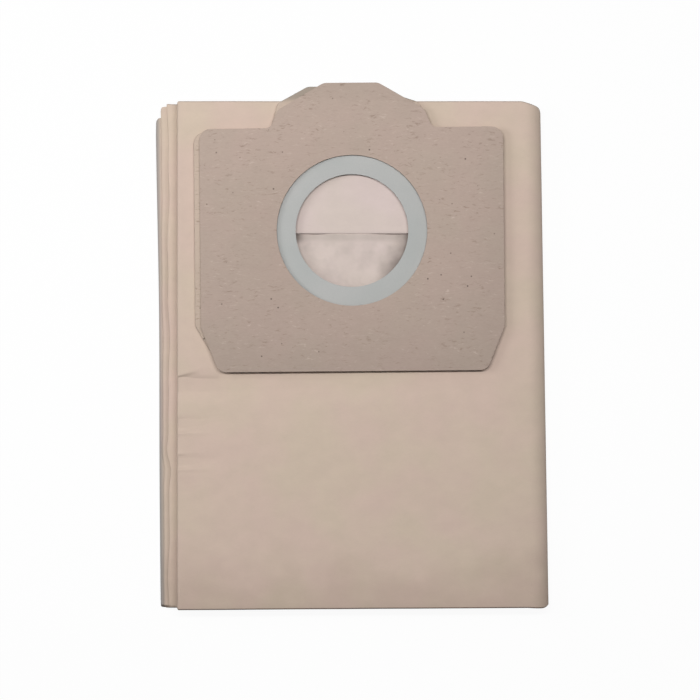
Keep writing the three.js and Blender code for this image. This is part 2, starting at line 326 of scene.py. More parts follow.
def fold_tree():
    """Folds what lies past an edge back behind the face, round half an ellipse that tightens with depth."""
    inputs = ["Edge", "Lean", "Reach", "Tightest reach", "Face level", "Half height", "Turn", "Direction"]
    tree, given, result = new_tree(
        "fold_back", "GeometryNodeTree",
        {"Position": VECTOR, **{label: FLOAT for label in inputs}}, {"Position": VECTOR})
    value = given.outputs
    place = add_node(tree, "ShaderNodeSeparateXYZ", {0: value["Position"]}).outputs
    depth = calc(tree, "SUBTRACT", value["Face level"], place["Z"])
    x = calc(tree, "MULTIPLY", place["X"], value["Direction"])
    reach = calc(tree, "MAXIMUM", calc(tree, "SUBTRACT", value["Reach"], depth), value["Tightest reach"])
    edge = calc(tree, "SUBTRACT", value["Edge"], calc(tree, "MULTIPLY", value["Lean"], place["Y"]))
    start = calc(tree, "SUBTRACT", calc(tree, "SUBTRACT", edge, depth), reach)
    along = calc(tree, "SUBTRACT", x, start)
    before = calc(tree, "MINIMUM", along, 0.0)
    past = calc(tree, "MAXIMUM", calc(tree, "SUBTRACT", along, value["Turn"]), 0.0)
    turned = calc(tree, "MULTIPLY", calc(tree, "DIVIDE", along, value["Turn"], clamp=True), math.pi)
    out = calc(tree, "MULTIPLY", reach, calc(tree, "SINE", turned))
    new_x = calc(tree, "SUBTRACT", calc(tree, "ADD", calc(tree, "ADD", start, before), out), past)
    half = calc(tree, "SUBTRACT", value["Half height"], depth)
    middle = calc(tree, "SUBTRACT", value["Face level"], value["Half height"])
    new_z = calc(tree, "MULTIPLY_ADD", half, calc(tree, "COSINE", turned), middle)
    folded = add_node(tree, "ShaderNodeCombineXYZ", {
        "X": calc(tree, "MULTIPLY", new_x, value["Direction"]), "Y": place["Y"], "Z": new_z})
    tree.links.new(folded.outputs[0], result.inputs["Position"])
    return tree


def ridge_tree():
    """One small wrinkle that starts at the crease and dies out along the face."""
    labels = ["X", "Y", "Rise", "Length", "Width", "Height"]
    tree, given, result = new_tree(
        "wrinkle", "GeometryNodeTree",
        {"Position": VECTOR, **{label: FLOAT for label in labels}}, {"Lift": FLOAT})
    value = given.outputs
    place = add_node(tree, "ShaderNodeSeparateXYZ", {0: value["Position"]}).outputs
    along = calc(tree, "SUBTRACT", place["X"], value["X"])
    line = calc(tree, "MULTIPLY_ADD", along, value["Rise"], value["Y"])
    aside = calc(tree, "DIVIDE", calc(tree, "SUBTRACT", place["Y"], line), value["Width"])
    hump = calc(tree, "EXPONENT", calc(tree, "MULTIPLY", calc(tree, "MULTIPLY", aside, aside), -1.0))
    fade = calc(tree, "SUBTRACT", 1.0, calc(tree, "DIVIDE", along, value["Length"], clamp=True))
    tree.links.new(
        calc(tree, "MULTIPLY", calc(tree, "MULTIPLY", hump, fade), value["Height"]), result.inputs["Lift"])
    return tree


# The bulge of the wall behind the mouth. It fades between each pair of places: across the pleat's edge, where
# it starts higher in the middle, down the wall, and to the left and right of the mouth's middle.
BULGE_START = (-0.12 * MM, 0.12 * MM)
BULGE_RAISED = 0.4 * MM
BULGE_RAISED_SIDES = (19 * MM, 5 * MM)
BULGE_DOWN = (30 * MM, 3 * MM)
BULGE_LEFT = (-23 * MM, -7 * MM)
BULGE_RIGHT = (27 * MM, 15 * MM)
BULGE_RIGHT_SLANT = 0.35
BULGE_DULL_CORNER = (14 * MM, 2 * MM)
BULGE_DULL_SLANT = -1.5


def crumple_tree():
    """The back wall behind the mouth: it bulges up under the pleat's edge and sinks away to the sides."""
    labels = ["Face level", "Wall depth", "Edge", "Middle", "Rise", "Size"]
    tree, given, result = new_tree(
        "crumple", "GeometryNodeTree",
        {"Position": VECTOR, **{label: FLOAT for label in labels}}, {"Lift": FLOAT})
    value = given.outputs
    place = add_node(tree, "ShaderNodeSeparateXYZ", {0: value["Position"]}).outputs
    depth = calc(tree, "SUBTRACT", value["Face level"], place["Z"])
    deep = smooth_step(tree, depth, calc(tree, "SUBTRACT", value["Wall depth"], 0.2 * MM),
                       calc(tree, "SUBTRACT", value["Wall depth"], 0.02 * MM))
    below = calc(tree, "SUBTRACT", value["Edge"], place["Y"])
    aside = calc(tree, "SUBTRACT", place["X"], value["Middle"])
    pressed = smooth_step(tree, calc(tree, "ABSOLUTE", aside), *BULGE_RAISED_SIDES)
    started = smooth_step(tree, calc(tree, "MULTIPLY_ADD", pressed, BULGE_RAISED, below), *BULGE_START)
    kept = smooth_step(tree, below, *BULGE_DOWN)
    slant = calc(tree, "MULTIPLY_ADD", below, BULGE_RIGHT_SLANT, aside)
    right = smooth_step(tree, slant, *BULGE_RIGHT)
    left = smooth_step(tree, aside, *BULGE_LEFT)
    scaled = add_node(
        tree, "ShaderNodeVectorMath", {0: value["Position"], 1: (1, 1, 0)}, operation="MULTIPLY").outputs[0]
    noise = add_node(tree, "ShaderNodeTexNoise", {
        "Vector": scaled, "Scale": calc(tree, "DIVIDE", 1.0, value["Size"]), "Detail": 2.0}).outputs[0]
    uneven = stretch(tree, noise, 0.3, 0.7, 0.62, 1.0)
    corner = calc(tree, "MULTIPLY_ADD", below, BULGE_DULL_SLANT, aside)
    top_right = smooth_step(tree, corner, *BULGE_DULL_CORNER)
    uneven = calc(tree, "MULTIPLY", uneven, stretch(tree, top_right, 0.0, 1.0, 0.55, 1.0))
    share = calc(tree, "MULTIPLY", calc(tree, "MULTIPLY", started, kept), calc(tree, "MULTIPLY", right, left))
    lift = calc(tree, "MULTIPLY", calc(tree, "MULTIPLY", share, uneven), value["Rise"])
    tree.links.new(calc(tree, "MULTIPLY", lift, deep), result.inputs["Lift"])
    return tree


fold_back = fold_tree()
wrinkle = ridge_tree()
crumple = crumple_tree()

# Each wrinkle: how far below the mouth's centre it leaves the crease, its rise, length, width and height
WRINKLES = [
    (62.5 * MM, 0.3, 14 * MM, 1.1 * MM, 0.22 * MM),
    (67 * MM, 0.04, 10 * MM, 0.8 * MM, -0.16 * MM),
    (83.5 * MM, 0.12, 26 * MM, 3.2 * MM, -0.8 * MM),
    (87.4 * MM, 0.03, 16 * MM, 0.8 * MM, 0.28 * MM),
    (95.9 * MM, 0.02, 11 * MM, 0.8 * MM, 0.15 * MM),
    (99.8 * MM, 0.1, 22 * MM, 2.6 * MM, -0.6 * MM),
    (103 * MM, 0.02, 16 * MM, 0.8 * MM, 0.27 * MM),
]
# A broad, shallow trough in the paper below the collar, given in the same way
TROUGH = (67.5 * MM, 0.02, 135 * MM, 5.5 * MM, -1.5 * MM)

# The paper's slow waves, which leave the collar's seat flat, and the bulge of the wall behind the mouth
WAVE_LENGTH = 46 * MM
WAVE_HEIGHT = 1.7 * MM
CRUMPLE_RISE = 1.85 * MM
CRUMPLE_SIZE = 9 * MM
COLLAR_CALM = 14 * MM
COLLAR_HALF_SIZE = Vector((66, 53, 0)) * MM
COLLAR_BELOW_MOUTH = 8 * MM


def bag_tree():
    """Folds the flat tube in three, sets it in its place and gives its paper gentle waves and wrinkles."""
    tree, given, result = new_tree(
        "fold_in_three", "GeometryNodeTree",
        {"Geometry": GEOMETRY, "Wave length": FLOAT, "Wave height": FLOAT, "Crumple rise": FLOAT,
         "Crumple size": FLOAT, "Paper": MATERIAL},
        {"Geometry": GEOMETRY})
    common = {"Tightest reach": TIGHTEST_REACH, "Face level": face_level}
    start = add_node(tree, "GeometryNodeInputPosition").outputs[0]
    bulge = put_group(tree, crumple, {
        "Position": start, "Face level": face_level, "Wall depth": PANEL - WALL,
        "Edge": top_edge - PLEAT_DEPTH - PLEAT_GAP / 2 - WALL, "Middle": MOUTH_FROM_CREASE,
        "Rise": given.outputs["Crumple rise"], "Size": given.outputs["Crumple size"]})["Lift"]
    raised = add_node(tree, "ShaderNodeCombineXYZ", {"Z": bulge}).outputs[0]
    place = add_node(tree, "ShaderNodeVectorMath", {0: start, 1: raised}, operation="ADD").outputs[0]
    for edge, lean, reach, half, turn, direction in (
        (0.0, 0.0, CREASE_REACH, PANEL + PANEL_GAP / 2, CREASE_TURN, -1.0),
        (MIDDLE_PANEL, SOFT_LEAN, SOFT_REACH, face_level / 2, SOFT_TURN, 1.0),
    ):
        place = put_group(tree, fold_back, {
            **common, "Position": place, "Edge": edge, "Lean": lean, "Reach": reach, "Half height": half,
            "Turn": turn, "Direction": direction})["Position"]
    place = add_node(tree, "ShaderNodeVectorMath", {0: place, 1: (crease_x, bag_middle_y, 0)},
                     operation="ADD").outputs[0]
    axes = add_node(tree, "ShaderNodeSeparateXYZ", {0: place}).outputs

    flat = add_node(tree, "ShaderNodeCombineXYZ", {"X": axes["X"], "Y": axes["Y"]}).outputs[0]
    scale = calc(tree, "DIVIDE", 1.0, given.outputs["Wave length"])
    noise = add_node(tree, "ShaderNodeTexNoise", {"Vector": flat, "Scale": scale, "Detail": 2.0},
                     noise_dimensions="3D").outputs[0]
    wave = calc(tree, "MULTIPLY", calc(tree, "SUBTRACT", noise, 0.5), given.outputs["Wave height"])
    away = []
    for axis, centre, half in (("X", mouth.x, COLLAR_HALF_SIZE.x),
                               ("Y", mouth.y - COLLAR_BELOW_MOUTH, COLLAR_HALF_SIZE.y)):
        distance = calc(tree, "ABSOLUTE", calc(tree, "SUBTRACT", axes[axis], centre))
        away.append(calc(tree, "SUBTRACT", distance, half))
    clear = add_node(tree, "ShaderNodeMapRange", {
        "Value": calc(tree, "MAXIMUM", *away), "From Min": 0.0, "From Max": COLLAR_CALM},
        interpolation_type="SMOOTHSTEP").outputs[0]
    height_share = calc(tree, "DIVIDE", axes["Z"], face_level)
    lift = calc(tree, "MULTIPLY", calc(tree, "MULTIPLY", wave, clear), height_share)
    top_share = add_node(tree, "ShaderNodeMapRange", {
        "Value": axes["Z"], "From Min": face_level - PANEL, "From Max": face_level}).outputs[0]
    for below, rise, length, width, height in [*WRINKLES, TROUGH]:
        ridge = put_group(tree, wrinkle, {
            "Position": place, "X": crease_x, "Y": mouth.y - below, "Rise": rise, "Length": length,
            "Width": width, "Height": height})["Lift"]
        lift = calc(tree, "MULTIPLY_ADD", ridge, top_share, lift)

    lifted = add_node(tree, "ShaderNodeCombineXYZ", {"Z": lift}).outputs[0]
    final = add_node(tree, "ShaderNodeVectorMath", {0: place, 1: lifted}, operation="ADD").outputs[0]
    shaped = add_node(tree, "GeometryNodeSetPosition",
                      {"Geometry": given.outputs["Geometry"], "Position": final}).outputs[0]
    real = add_node(tree, "GeometryNodeRealizeInstances", {"Geometry": shaped}).outputs[0]
    done = add_node(tree, "GeometryNodeSetMaterial",
                    {"Geometry": real, "Material": given.outputs["Paper"]}).outputs[0]
    tree.links.new(done, result.inputs["Geometry"])
    return tree


fold_in_three = bag_tree()


def mouth_punch():
    """The tool that cuts the mouth, through the front wall and no deeper."""
    punch = bmesh.new()
    bottom = face_level - WALL - AIR_GAP / 2
    top = face_level + MM
    bmesh.ops.create_cone(punch, cap_ends=True, segments=128, radius1=MOUTH_RADIUS, radius2=MOUTH_RADIUS,
                          depth=top - bottom)
    centre = (MOUTH_FROM_CREASE, mouth.y - bag_middle_y, (top + bottom) / 2)
    bmesh.ops.translate(punch, verts=punch.verts, vec=centre)
    mesh = bpy.data.meshes.new("mouth_punch")
    punch.to_mesh(mesh)
    punch.free()
    tool = bpy.data.objects.new("mouth_punch", mesh)
    bpy.context.collection.objects.link(tool)
    return tool


def set_input(modifier, label, value):
    """Sets a Geometry Nodes modifier's input by its socket's identifier."""
    for item in modifier.node_group.interface.items_tree:
        if item.item_type == "SOCKET" and item.in_out == "INPUT" and item.name == label:
            modifier[item.identifier] = value


PAPER_TURN = 40


def smooth_by_angle(mesh, degrees):
    """Smooth faces, with a sharp edge wherever the surface turns by more than the angle."""
    shape = bmesh.new()
    shape.from_mesh(mesh)
    limit = math.radians(degrees)
    for face in shape.faces:
        face.smooth = True
    for edge in shape.edges:
        edge.smooth = len(edge.link_faces) == 2 and edge.calc_face_angle(0) < limit
    shape.to_mesh(mesh)
    shape.free()


def fold_ply(ply, paper, crumple_rise=0.0):
    """Punches the mouth and folds the flat ply in three, then leaves it as a plain mesh."""
    tool = mouth_punch()
    cut = ply.modifiers.new("mouth", "BOOLEAN")
    cut.operation, cut.solver, cut.object = "DIFFERENCE", "EXACT", tool
    folding = ply.modifiers.new("folding", "NODES")
    folding.node_group = fold_in_three
    set_input(folding, "Wave length", WAVE_LENGTH)
    set_input(folding, "Wave height", WAVE_HEIGHT)
    set_input(folding, "Crumple rise", crumple_rise)
    set_input(folding, "Crumple size", CRUMPLE_SIZE)
    set_input(folding, "Paper", paper)
    bpy.context.view_layer.update()
    evaluated = ply.evaluated_get(bpy.context.evaluated_depsgraph_get())
    mesh = bpy.data.meshes.new_from_object(evaluated)
    ply.modifiers.clear()
    ply.data = mesh
    mesh.name = ply.name
    bpy.data.objects.remove(tool)
    smooth_by_angle(mesh, PAPER_TURN)
    return ply


def paint(code):
    """An sRGB colour such as "c4b1a3" as the linear colour that a shader takes."""
    channels = [int(code[i:i + 2], 16) / 255 for i in (0, 2, 4)]
    return tuple(c / 12.92 if c <= 0.04045 else ((c + 0.055) / 1.055) ** 2.4 for c in channels) + (1.0,)


def fibre_tree():
    """Felted fibres: streaks along one direction with a cloudy tone behind them."""
    tree, given, result = new_tree(
        "felted_fibres", "ShaderNodeTree",
        {"Position": VECTOR, "Fibre size": VECTOR, "Cloud size": FLOAT, "Seed": FLOAT},
        {"Streaks": FLOAT, "Clouds": FLOAT})
    value = given.outputs
    scaled = add_node(tree, "ShaderNodeVectorMath", {0: value["Position"], 1: value["Fibre size"]},
                      operation="DIVIDE").outputs[0]
    streaks = add_node(tree, "ShaderNodeTexNoise", {
        "Vector": scaled, "W": value["Seed"], "Scale": 1.0, "Detail": 3.0, "Roughness": 0.6},
        noise_dimensions="4D").outputs[0]
    clouds = add_node(tree, "ShaderNodeTexNoise", {
        "Vector": value["Position"], "W": value["Seed"], "Detail": 2.0, "Roughness": 0.5,
        "Scale": calc(tree, "DIVIDE", 1.0, value["Cloud size"])}, noise_dimensions="4D").outputs[0]
    tree.links.new(streaks, result.inputs["Streaks"])
    tree.links.new(clouds, result.inputs["Clouds"])
    return tree


def speck_tree():
    """Scattered specks: a share of the cells of a random pattern holds one speck each."""
    tree, given, result = new_tree(
        "specks", "ShaderNodeTree",
        {"Position": VECTOR, "Spacing": VECTOR, "Size": FLOAT, "Share": FLOAT}, {"Mask": FLOAT})
    value = given.outputs
    scaled = add_node(tree, "ShaderNodeVectorMath", {0: value["Position"], 1: value["Spacing"]},
                      operation="DIVIDE").outputs[0]
    cells = add_node(tree, "ShaderNodeTexVoronoi", {"Vector": scaled, "Scale": 1.0}, voronoi_dimensions="3D")
    chance = add_node(tree, "ShaderNodeSeparateColor", {0: cells.outputs["Color"]}).outputs[0]
    chosen = calc(tree, "LESS_THAN", chance, value["Share"])
    spot = add_node(tree, "ShaderNodeMapRange", {
        "Value": cells.outputs["Distance"], "From Min": value["Size"],
        "From Max": calc(tree, "MULTIPLY", value["Size"], 0.4)}).outputs[0]
    tree.links.new(calc(tree, "MULTIPLY", chosen, spot), result.inputs["Mask"])
    return tree


felted_fibres = fibre_tree()
specks = speck_tree()


def new_material(name):
    """A material with its tree, its shader and the Object coordinates that its patterns read."""
    material = bpy.data.materials.new(name)
    material.use_nodes = True
    tree = material.node_tree
    shader = tree.nodes["Principled BSDF"]
    place = add_node(tree, "ShaderNodeTexCoord").outputs["Object"]
    return material, tree, shader, place


def blend(tree, mask, first, second, mode="MIX"):
    """Two colours mixed by a mask."""
    node = add_node(tree, "ShaderNodeMix", {0: mask, 6: first, 7: second}, data_type="RGBA", blend_type=mode)
    return node.outputs[2]


def shade(tree, tone, value, darkest, palest):
    """A colour multiplied by a grey that follows a value."""
    grey = stretch(tree, value, 0.3, 0.7, darkest, palest)
    return blend(tree, 1.0, tone, grey, "MULTIPLY")


def paper_material(name, rosy, sandy, folded, roughness, seed):
    """Matte paper: rosy and sandy clouds, soft mottling, fine fibres, a few flecks, painted fold shading."""
    material, tree, shader, place = new_material(name)
    broad = put_group(tree, felted_fibres, {
        "Position": place, "Fibre size": (9 * MM, 6 * MM, 6 * MM), "Cloud size": 24 * MM, "Seed": seed})
    fine = put_group(tree, felted_fibres, {
        "Position": place, "Fibre size": (1.3 * MM, 0.5 * MM, 0.5 * MM), "Cloud size": 3 * MM,
        "Seed": seed + 4})
    tone = blend(tree, stretch(tree, broad["Clouds"], 0.38, 0.62), rosy, sandy)
    tone = shade(tree, tone, broad["Streaks"], 0.97, 1.025)
    tone = shade(tree, tone, fine["Streaks"], 0.985, 1.01)
    flecks = put_group(tree, specks, {
        "Position": place, "Spacing": (14 * MM, 14 * MM, 14 * MM), "Size": 0.022, "Share": 0.3})["Mask"]
    tone = blend(tree, calc(tree, "MULTIPLY", flecks, 0.45), tone, (0.12, 0.09, 0.07, 1.0))
    normal = add_node(tree, "ShaderNodeNewGeometry").outputs["Normal"]
    facing = add_node(tree, "ShaderNodeSeparateXYZ", {0: normal}).outputs
    # Painted shading on fold edges: faces turned toward -Y, away from the key lamp, take the folded tone,
    # which paints shade when dark and light when pale; steep faces take a little, faces turned to +Y more.
    painted_low_side_shading = stretch(tree, facing["Y"], -0.18, -0.55, 0.0, 0.9)
    painted_low_side_shading = calc(tree, "MULTIPLY", painted_low_side_shading, stretch(tree, facing["Y"], -0.8, -1.0, 1.0, 0.3))
    rubbed = stretch(tree, calc(tree, "ABSOLUTE", facing["Z"]), 0.6, 0.1, 0.0, 0.08)
    high_side = stretch(tree, facing["Y"], 0.25, 0.7, 0.0, 0.2)
    edge_wear_and_painted_shading = calc(tree, "MAXIMUM", calc(tree, "MAXIMUM", painted_low_side_shading, high_side), rubbed)
    tone = blend(tree, edge_wear_and_painted_shading, tone, folded)
    tree.links.new(tone, shader.inputs["Base Color"])
    tree.links.new(stretch(tree, fine["Streaks"], 0, 1, roughness + 0.05, roughness - 0.05),
                   shader.inputs["Roughness"])
    shader.inputs["Specular IOR Level"].default_value = 0.25
    relief = calc(tree, "MULTIPLY_ADD", fine["Streaks"], 0.3, broad["Streaks"])
    bump = add_node(tree, "ShaderNodeBump", {"Strength": 0.25, "Distance": 0.15 * MM, "Height": relief})
    tree.links.new(bump.outputs[0], shader.inputs["Normal"])
    return material, tree, shader, tone


# Painted shade on the filter paper behind the mouth, in bands that each fade between two places
BEHIND_PLEAT = (-0.35 * MM, 0.15 * MM)
PLEAT_SHADE_BAND = (4.4 * MM, 1.6 * MM)
RIM_SHADE = (19 * MM, 27 * MM)
RIGHT_SHADE = (9 * MM, 18 * MM)
LEFT_SHADE = (-20 * MM, -23.5 * MM)
LEFT_SHADE_DOWN = (5 * MM, 1 * MM)

# The pale folded tone paints light onto faces turned toward -Y, such as the pleat's edge behind the mouth.
inner_paper, filter_tree, filter_shader, filter_tone = paper_material(
    "pale_filter_paper", paint("cdbdb8"), paint("cbbdb5"), paint("d6c8c2"), 0.9, 3.0)
pleat_nose = top_edge - PLEAT_DEPTH - PLEAT_GAP / 2 - WALL
filter_place = add_node(filter_tree, "ShaderNodeTexCoord").outputs["Object"]
shaken = add_node(filter_tree, "ShaderNodeTexNoise", {
    "Vector": filter_place, "Scale": 170.0, "Detail": 2.0}).outputs[0]
from_mouth = add_node(
    filter_tree, "ShaderNodeVectorMath", {0: filter_place, 1: mouth}, operation="SUBTRACT").outputs[0]
from_mouth = add_node(
    filter_tree, "ShaderNodeVectorMath", {0: from_mouth, 1: (1, 1, 0)}, operation="MULTIPLY").outputs[0]
from_centre = add_node(
    filter_tree, "ShaderNodeVectorMath", {0: from_mouth}, operation="LENGTH").outputs["Value"]
from_centre = calc(filter_tree, "MULTIPLY_ADD", shaken, 4 * MM, from_centre)
mouth_axes = add_node(filter_tree, "ShaderNodeSeparateXYZ", {0: from_mouth}).outputs
below_pleat = calc(filter_tree, "SUBTRACT", pleat_nose + bag_middle_y - mouth.y, mouth_axes["Y"])
behind = smooth_step(filter_tree, below_pleat, *BEHIND_PLEAT)
# Random mottling behind the pleat's edge, joined by painted shade in a band just under that edge.
mottle_and_painted_shade = stretch(filter_tree, shaken, 0.4, 0.7, 0.0, 0.4)
painted_pleat_shade = smooth_step(filter_tree, below_pleat, *PLEAT_SHADE_BAND)
uneven_shade = stretch(filter_tree, shaken, 0.3, 0.7, 0.4, 0.7)
painted_pleat_shade = calc(filter_tree, "MULTIPLY", painted_pleat_shade, uneven_shade)
mottle_and_painted_shade = calc(filter_tree, "MAXIMUM", mottle_and_painted_shade, painted_pleat_shade)
mottle_and_painted_shade = calc(filter_tree, "MULTIPLY", mottle_and_painted_shade, behind)
filter_tone = blend(filter_tree, mottle_and_painted_shade, filter_tone, paint("aea39b"))
# Painted shade near the rim at the lower right of the mouth and at the left end of the pleat's line.
rim_side = smooth_step(filter_tree, from_centre, *RIM_SHADE)
right_side = smooth_step(filter_tree, mouth_axes["X"], *RIGHT_SHADE)
painted_rim_shade = calc(filter_tree, "MULTIPLY", calc(filter_tree, "MULTIPLY", rim_side, right_side), behind)
left_end = smooth_step(filter_tree, mouth_axes["X"], *LEFT_SHADE)
left_end = calc(filter_tree, "MULTIPLY", left_end, smooth_step(filter_tree, below_pleat, *LEFT_SHADE_DOWN))
left_end = calc(filter_tree, "MULTIPLY", left_end, behind)
painted_rim_shade = calc(filter_tree, "MULTIPLY", calc(filter_tree, "MAXIMUM", painted_rim_shade, left_end), 0.72)
filter_tone = blend(filter_tree, painted_rim_shade, filter_tone, paint("766c66"))
filter_tree.links.new(filter_tone, filter_shader.inputs["Base Color"])

# Where the flat tube is cut into a grid: coarse where it stays flat, finer at the folds and behind the mouth
inner_grid = (
    steps((short_wing_end, -9 * MM, 30 * MM), (-9 * MM, 4 * MM, 0.8 * MM), (4 * MM, soft_start, 8 * MM),
          (soft_start, long_wing_start, 1.2 * MM), (long_wing_start, long_wing_end - 13 * MM, 8 * MM))[1:],
    steps((-104 * MM, 104 * MM, 8 * MM)))
back_wall = face_level - PANEL + WALL
mouth_patch = (
    (MOUTH_FROM_CREASE - 32 * MM, pleat_nose - 34 * MM, back_wall - 0.3 * MM),
    (MOUTH_FROM_CREASE + 32 * MM, pleat_nose + 8 * MM, back_wall + 0.1 * MM),
    steps((MOUTH_FROM_CREASE - 27 * MM, MOUTH_FROM_CREASE + 27 * MM, 0.9 * MM)),
    steps((pleat_nose - 28 * MM, pleat_nose - 2 * MM, 0.9 * MM),
          (pleat_nose - 0.8 * MM, pleat_nose + 0.5 * MM, 0.1 * MM)))
inner_ply = flat_ply("inner_ply", OUTER_PLY + PLY_GAP, WALL,
                     (*inner_grid, (mouth_patch,)), (*inner_grid, (mouth_patch,)))
fold_ply(inner_ply, inner_paper, CRUMPLE_RISE)
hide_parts("inner_paper")
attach(inner_ply, "root")


# Outer ply of the bag
# Tan kraft paper round the inner ply, folded together with it. It is the face that is seen all round the bag.
# The collar is glued to it round the mouth, which is punched through both plies of the front wall.

# Bands of another tone, each fading between two places: painted shade toward the low end, a greyer strip at
# the long wing's end, the foot of its layers, painted shade in the step below its top layer, and painted
# light toward the top edge
LOW_SHADE_BAND = (50 * MM, 22 * MM)
END_STRIP_BAND = (3.2 * MM, 0.5 * MM)
FOOT_BAND = (1 * MM, 0.3 * MM)
FOOT_SIDE = (-5 * MM, -3 * MM)
LAYERS_SIDE = (-0.5 * MM, -1.5 * MM)
CREVICE_BELOW = (-0.22 * MM, 0.02 * MM)
CREVICE_ABOVE = (0.68 * MM, 0.12 * MM)
CREVICE_LENGTH = (30 * MM, 90 * MM)
TOP_LIGHT_BAND = (40 * MM, 105 * MM)

# The dark folded tone paints shade onto faces turned toward -Y, such as the bag's lower edges.
outer_paper, paper_tree, paper_shader, paper_tone = paper_material(
    "tan_kraft_paper", paint("c6b1a4"), paint("c4b3a2"), paint("5a4a40"), 0.85, 8.0)
paper_place = add_node(paper_tree, "ShaderNodeTexCoord").outputs["Object"]
paper_axes = add_node(paper_tree, "ShaderNodeSeparateXYZ", {0: paper_place}).outputs
# Painted shade: the paper darkens toward the bag's low end, standing in for the lamps' falloff there.
low_shade_edge = add_node(paper_tree, "ShaderNodeTexNoise", {"Vector": paper_place, "Scale": 60.0}).outputs[0]
low_shade_edge = calc(paper_tree, "MULTIPLY_ADD", low_shade_edge, 40 * MM, paper_axes["Y"])
painted_low_shade = smooth_step(paper_tree, low_shade_edge, *(bag_low.y + band for band in LOW_SHADE_BAND))
paper_tone = blend(paper_tree, calc(paper_tree, "MULTIPLY", painted_low_shade, 0.2), paper_tone, paint("806c5e"))
wing_edge = calc(paper_tree, "MULTIPLY_ADD", paper_axes["Y"], WING_END_LEAN, paper_axes["X"])
end_edge = crease_x - LONG_WING_OVERHANG
# The last few millimetres of the long wing's end are greyer.
greyer_end_strip = smooth_step(paper_tree, wing_edge, *(end_edge + band for band in END_STRIP_BAND))
paper_tone = blend(paper_tree, calc(paper_tree, "MULTIPLY", greyer_end_strip, 0.68), paper_tone, paint("757a7e"))
foot = smooth_step(paper_tree, paper_axes["Y"], *(bag_low.y + band for band in FOOT_BAND))
from_crease = calc(paper_tree, "SUBTRACT", paper_axes["X"], crease_x)
past_crease = smooth_step(paper_tree, from_crease, *LAYERS_SIDE)
foot_share = stretch(paper_tree, from_crease, *FOOT_SIDE, 0.8, 0.3)
foot_share = calc(paper_tree, "MULTIPLY", foot_share, past_crease)
paper_tone = blend(paper_tree, calc(paper_tree, "MULTIPLY", foot, foot_share), paper_tone, paint("40362f"))
# Painted shade in the step under the long wing's top layer, stronger toward the bag's low end.
over_step = calc(paper_tree, "SUBTRACT", paper_axes["Z"], MIDDLE_LAYER_TOP)
painted_crevice_shade = smooth_step(paper_tree, over_step, *CREVICE_BELOW)
painted_crevice_shade = calc(paper_tree, "MULTIPLY", painted_crevice_shade, smooth_step(paper_tree, over_step, *CREVICE_ABOVE))
painted_crevice_shade = calc(paper_tree, "MULTIPLY", painted_crevice_shade, past_crease)
painted_crevice_shade = calc(paper_tree, "MULTIPLY", painted_crevice_shade, stretch(
    paper_tree, paper_axes["Y"], *CREVICE_LENGTH, 0.24, 0.1))
paper_tone = blend(paper_tree, painted_crevice_shade, paper_tone, paint("6a584a"))
# Painted light: the paper brightens toward the bag's top edge, nearest the key lamp.
painted_top_light = stretch(paper_tree, paper_axes["Y"], *TOP_LIGHT_BAND, 1.0, 1.06)
paper_tone = blend(paper_tree, 1.0, paper_tone, painted_top_light, "MULTIPLY")
paper_tree.links.new(paper_tone, paper_shader.inputs["Base Color"])

outer_grid = (
    steps((short_wing_end, -9 * MM, 30 * MM), (-9 * MM, 4 * MM, 0.55 * MM), (4 * MM, 24 * MM, 2 * MM),
          (24 * MM, soft_start - 4 * MM, 4 * MM), (soft_start - 4 * MM, long_wing_start, 0.75 * MM),
          (long_wing_start, long_wing_end - 13 * MM, 4 * MM))[1:],
    steps((-106 * MM, 107 * MM, 3 * MM), (107 * MM, 108.2 * MM, 0.4 * MM)))
crease_patches = []
for below, rise, length, width, height in WRINKLES:
    across = mouth.y - bag_middle_y - below
    reach = 2.2 * width + rise * length
    crease_patches.append((
        (-5 * MM, across - 2.2 * width - 3 * MM, face_level - 0.1 * MM),
        (length + 4 * MM, across + reach + 3 * MM, face_level + 0.1 * MM),
        steps((0, length + 1 * MM, 0.8 * MM)),
        steps((across - 2.2 * width, across + reach, 0.22 * MM))))
outer_ply = flat_ply("outer_ply", 0.0, OUTER_PLY, (*outer_grid, crease_patches), inner_grid)
fold_ply(outer_ply, outer_paper)
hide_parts("outer_paper")
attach(outer_ply, "root")


# Backing board of the collar
# Grey-brown fibreboard, die cut and glued to the bag round its mouth. It was laminated a little off register,
# so a strip of it shows to the left of the front board and beside its pull tab.

PRESSED_EDGE = 0.5 * MM
BOARD_TURN = 35


def cut_board(name, node, edge_round):
    """A copy of a frame node with its cut edges slightly rounded, as a die leaves them."""
    shape = bmesh.new()
    shape.from_mesh(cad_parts[node].data)
    bmesh.ops.remove_doubles(shape, verts=shape.verts, dist=1e-6)
    bmesh.ops.dissolve_limit(shape, angle_limit=math.radians(1), verts=shape.verts, edges=shape.edges)
    rims = [e for e in shape.edges if len(e.link_faces) == 2 and e.calc_face_angle(0) > math.radians(60)]
    bmesh.ops.bevel(shape, geom=rims, offset=edge_round, segments=2, profile=0.6, affect="EDGES")
    bmesh.ops.triangulate(shape, faces=[f for f in shape.faces if len(f.verts) > 4])
    mesh = bpy.data.meshes.new(name)
    shape.to_mesh(mesh)
    shape.free()
    smooth_by_angle(mesh, BOARD_TURN)
    board = bpy.data.objects.new(name, mesh)
    bpy.context.collection.objects.link(board)
    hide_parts(node)
    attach(board, "root")
    return board


def wavy_place(tree, place, size, amount):
    """Object coordinates shaken by a soft noise, so that marks laid out by them come out bent."""
    noise = add_node(tree, "ShaderNodeTexNoise", {"Vector": place, "Scale": 1 / size, "Detail": 1.0})
    centred = add_node(
        tree, "ShaderNodeVectorMath", {0: noise.outputs[1], 1: (0.5, 0.5, 0.5)}, operation="SUBTRACT")
    scaled = add_node(
        tree, "ShaderNodeVectorMath", {0: centred.outputs[0], "Scale": amount}, operation="SCALE")
    added = add_node(tree, "ShaderNodeVectorMath", {0: place, 1: scaled.outputs[0]}, operation="ADD")
    return added.outputs[0]


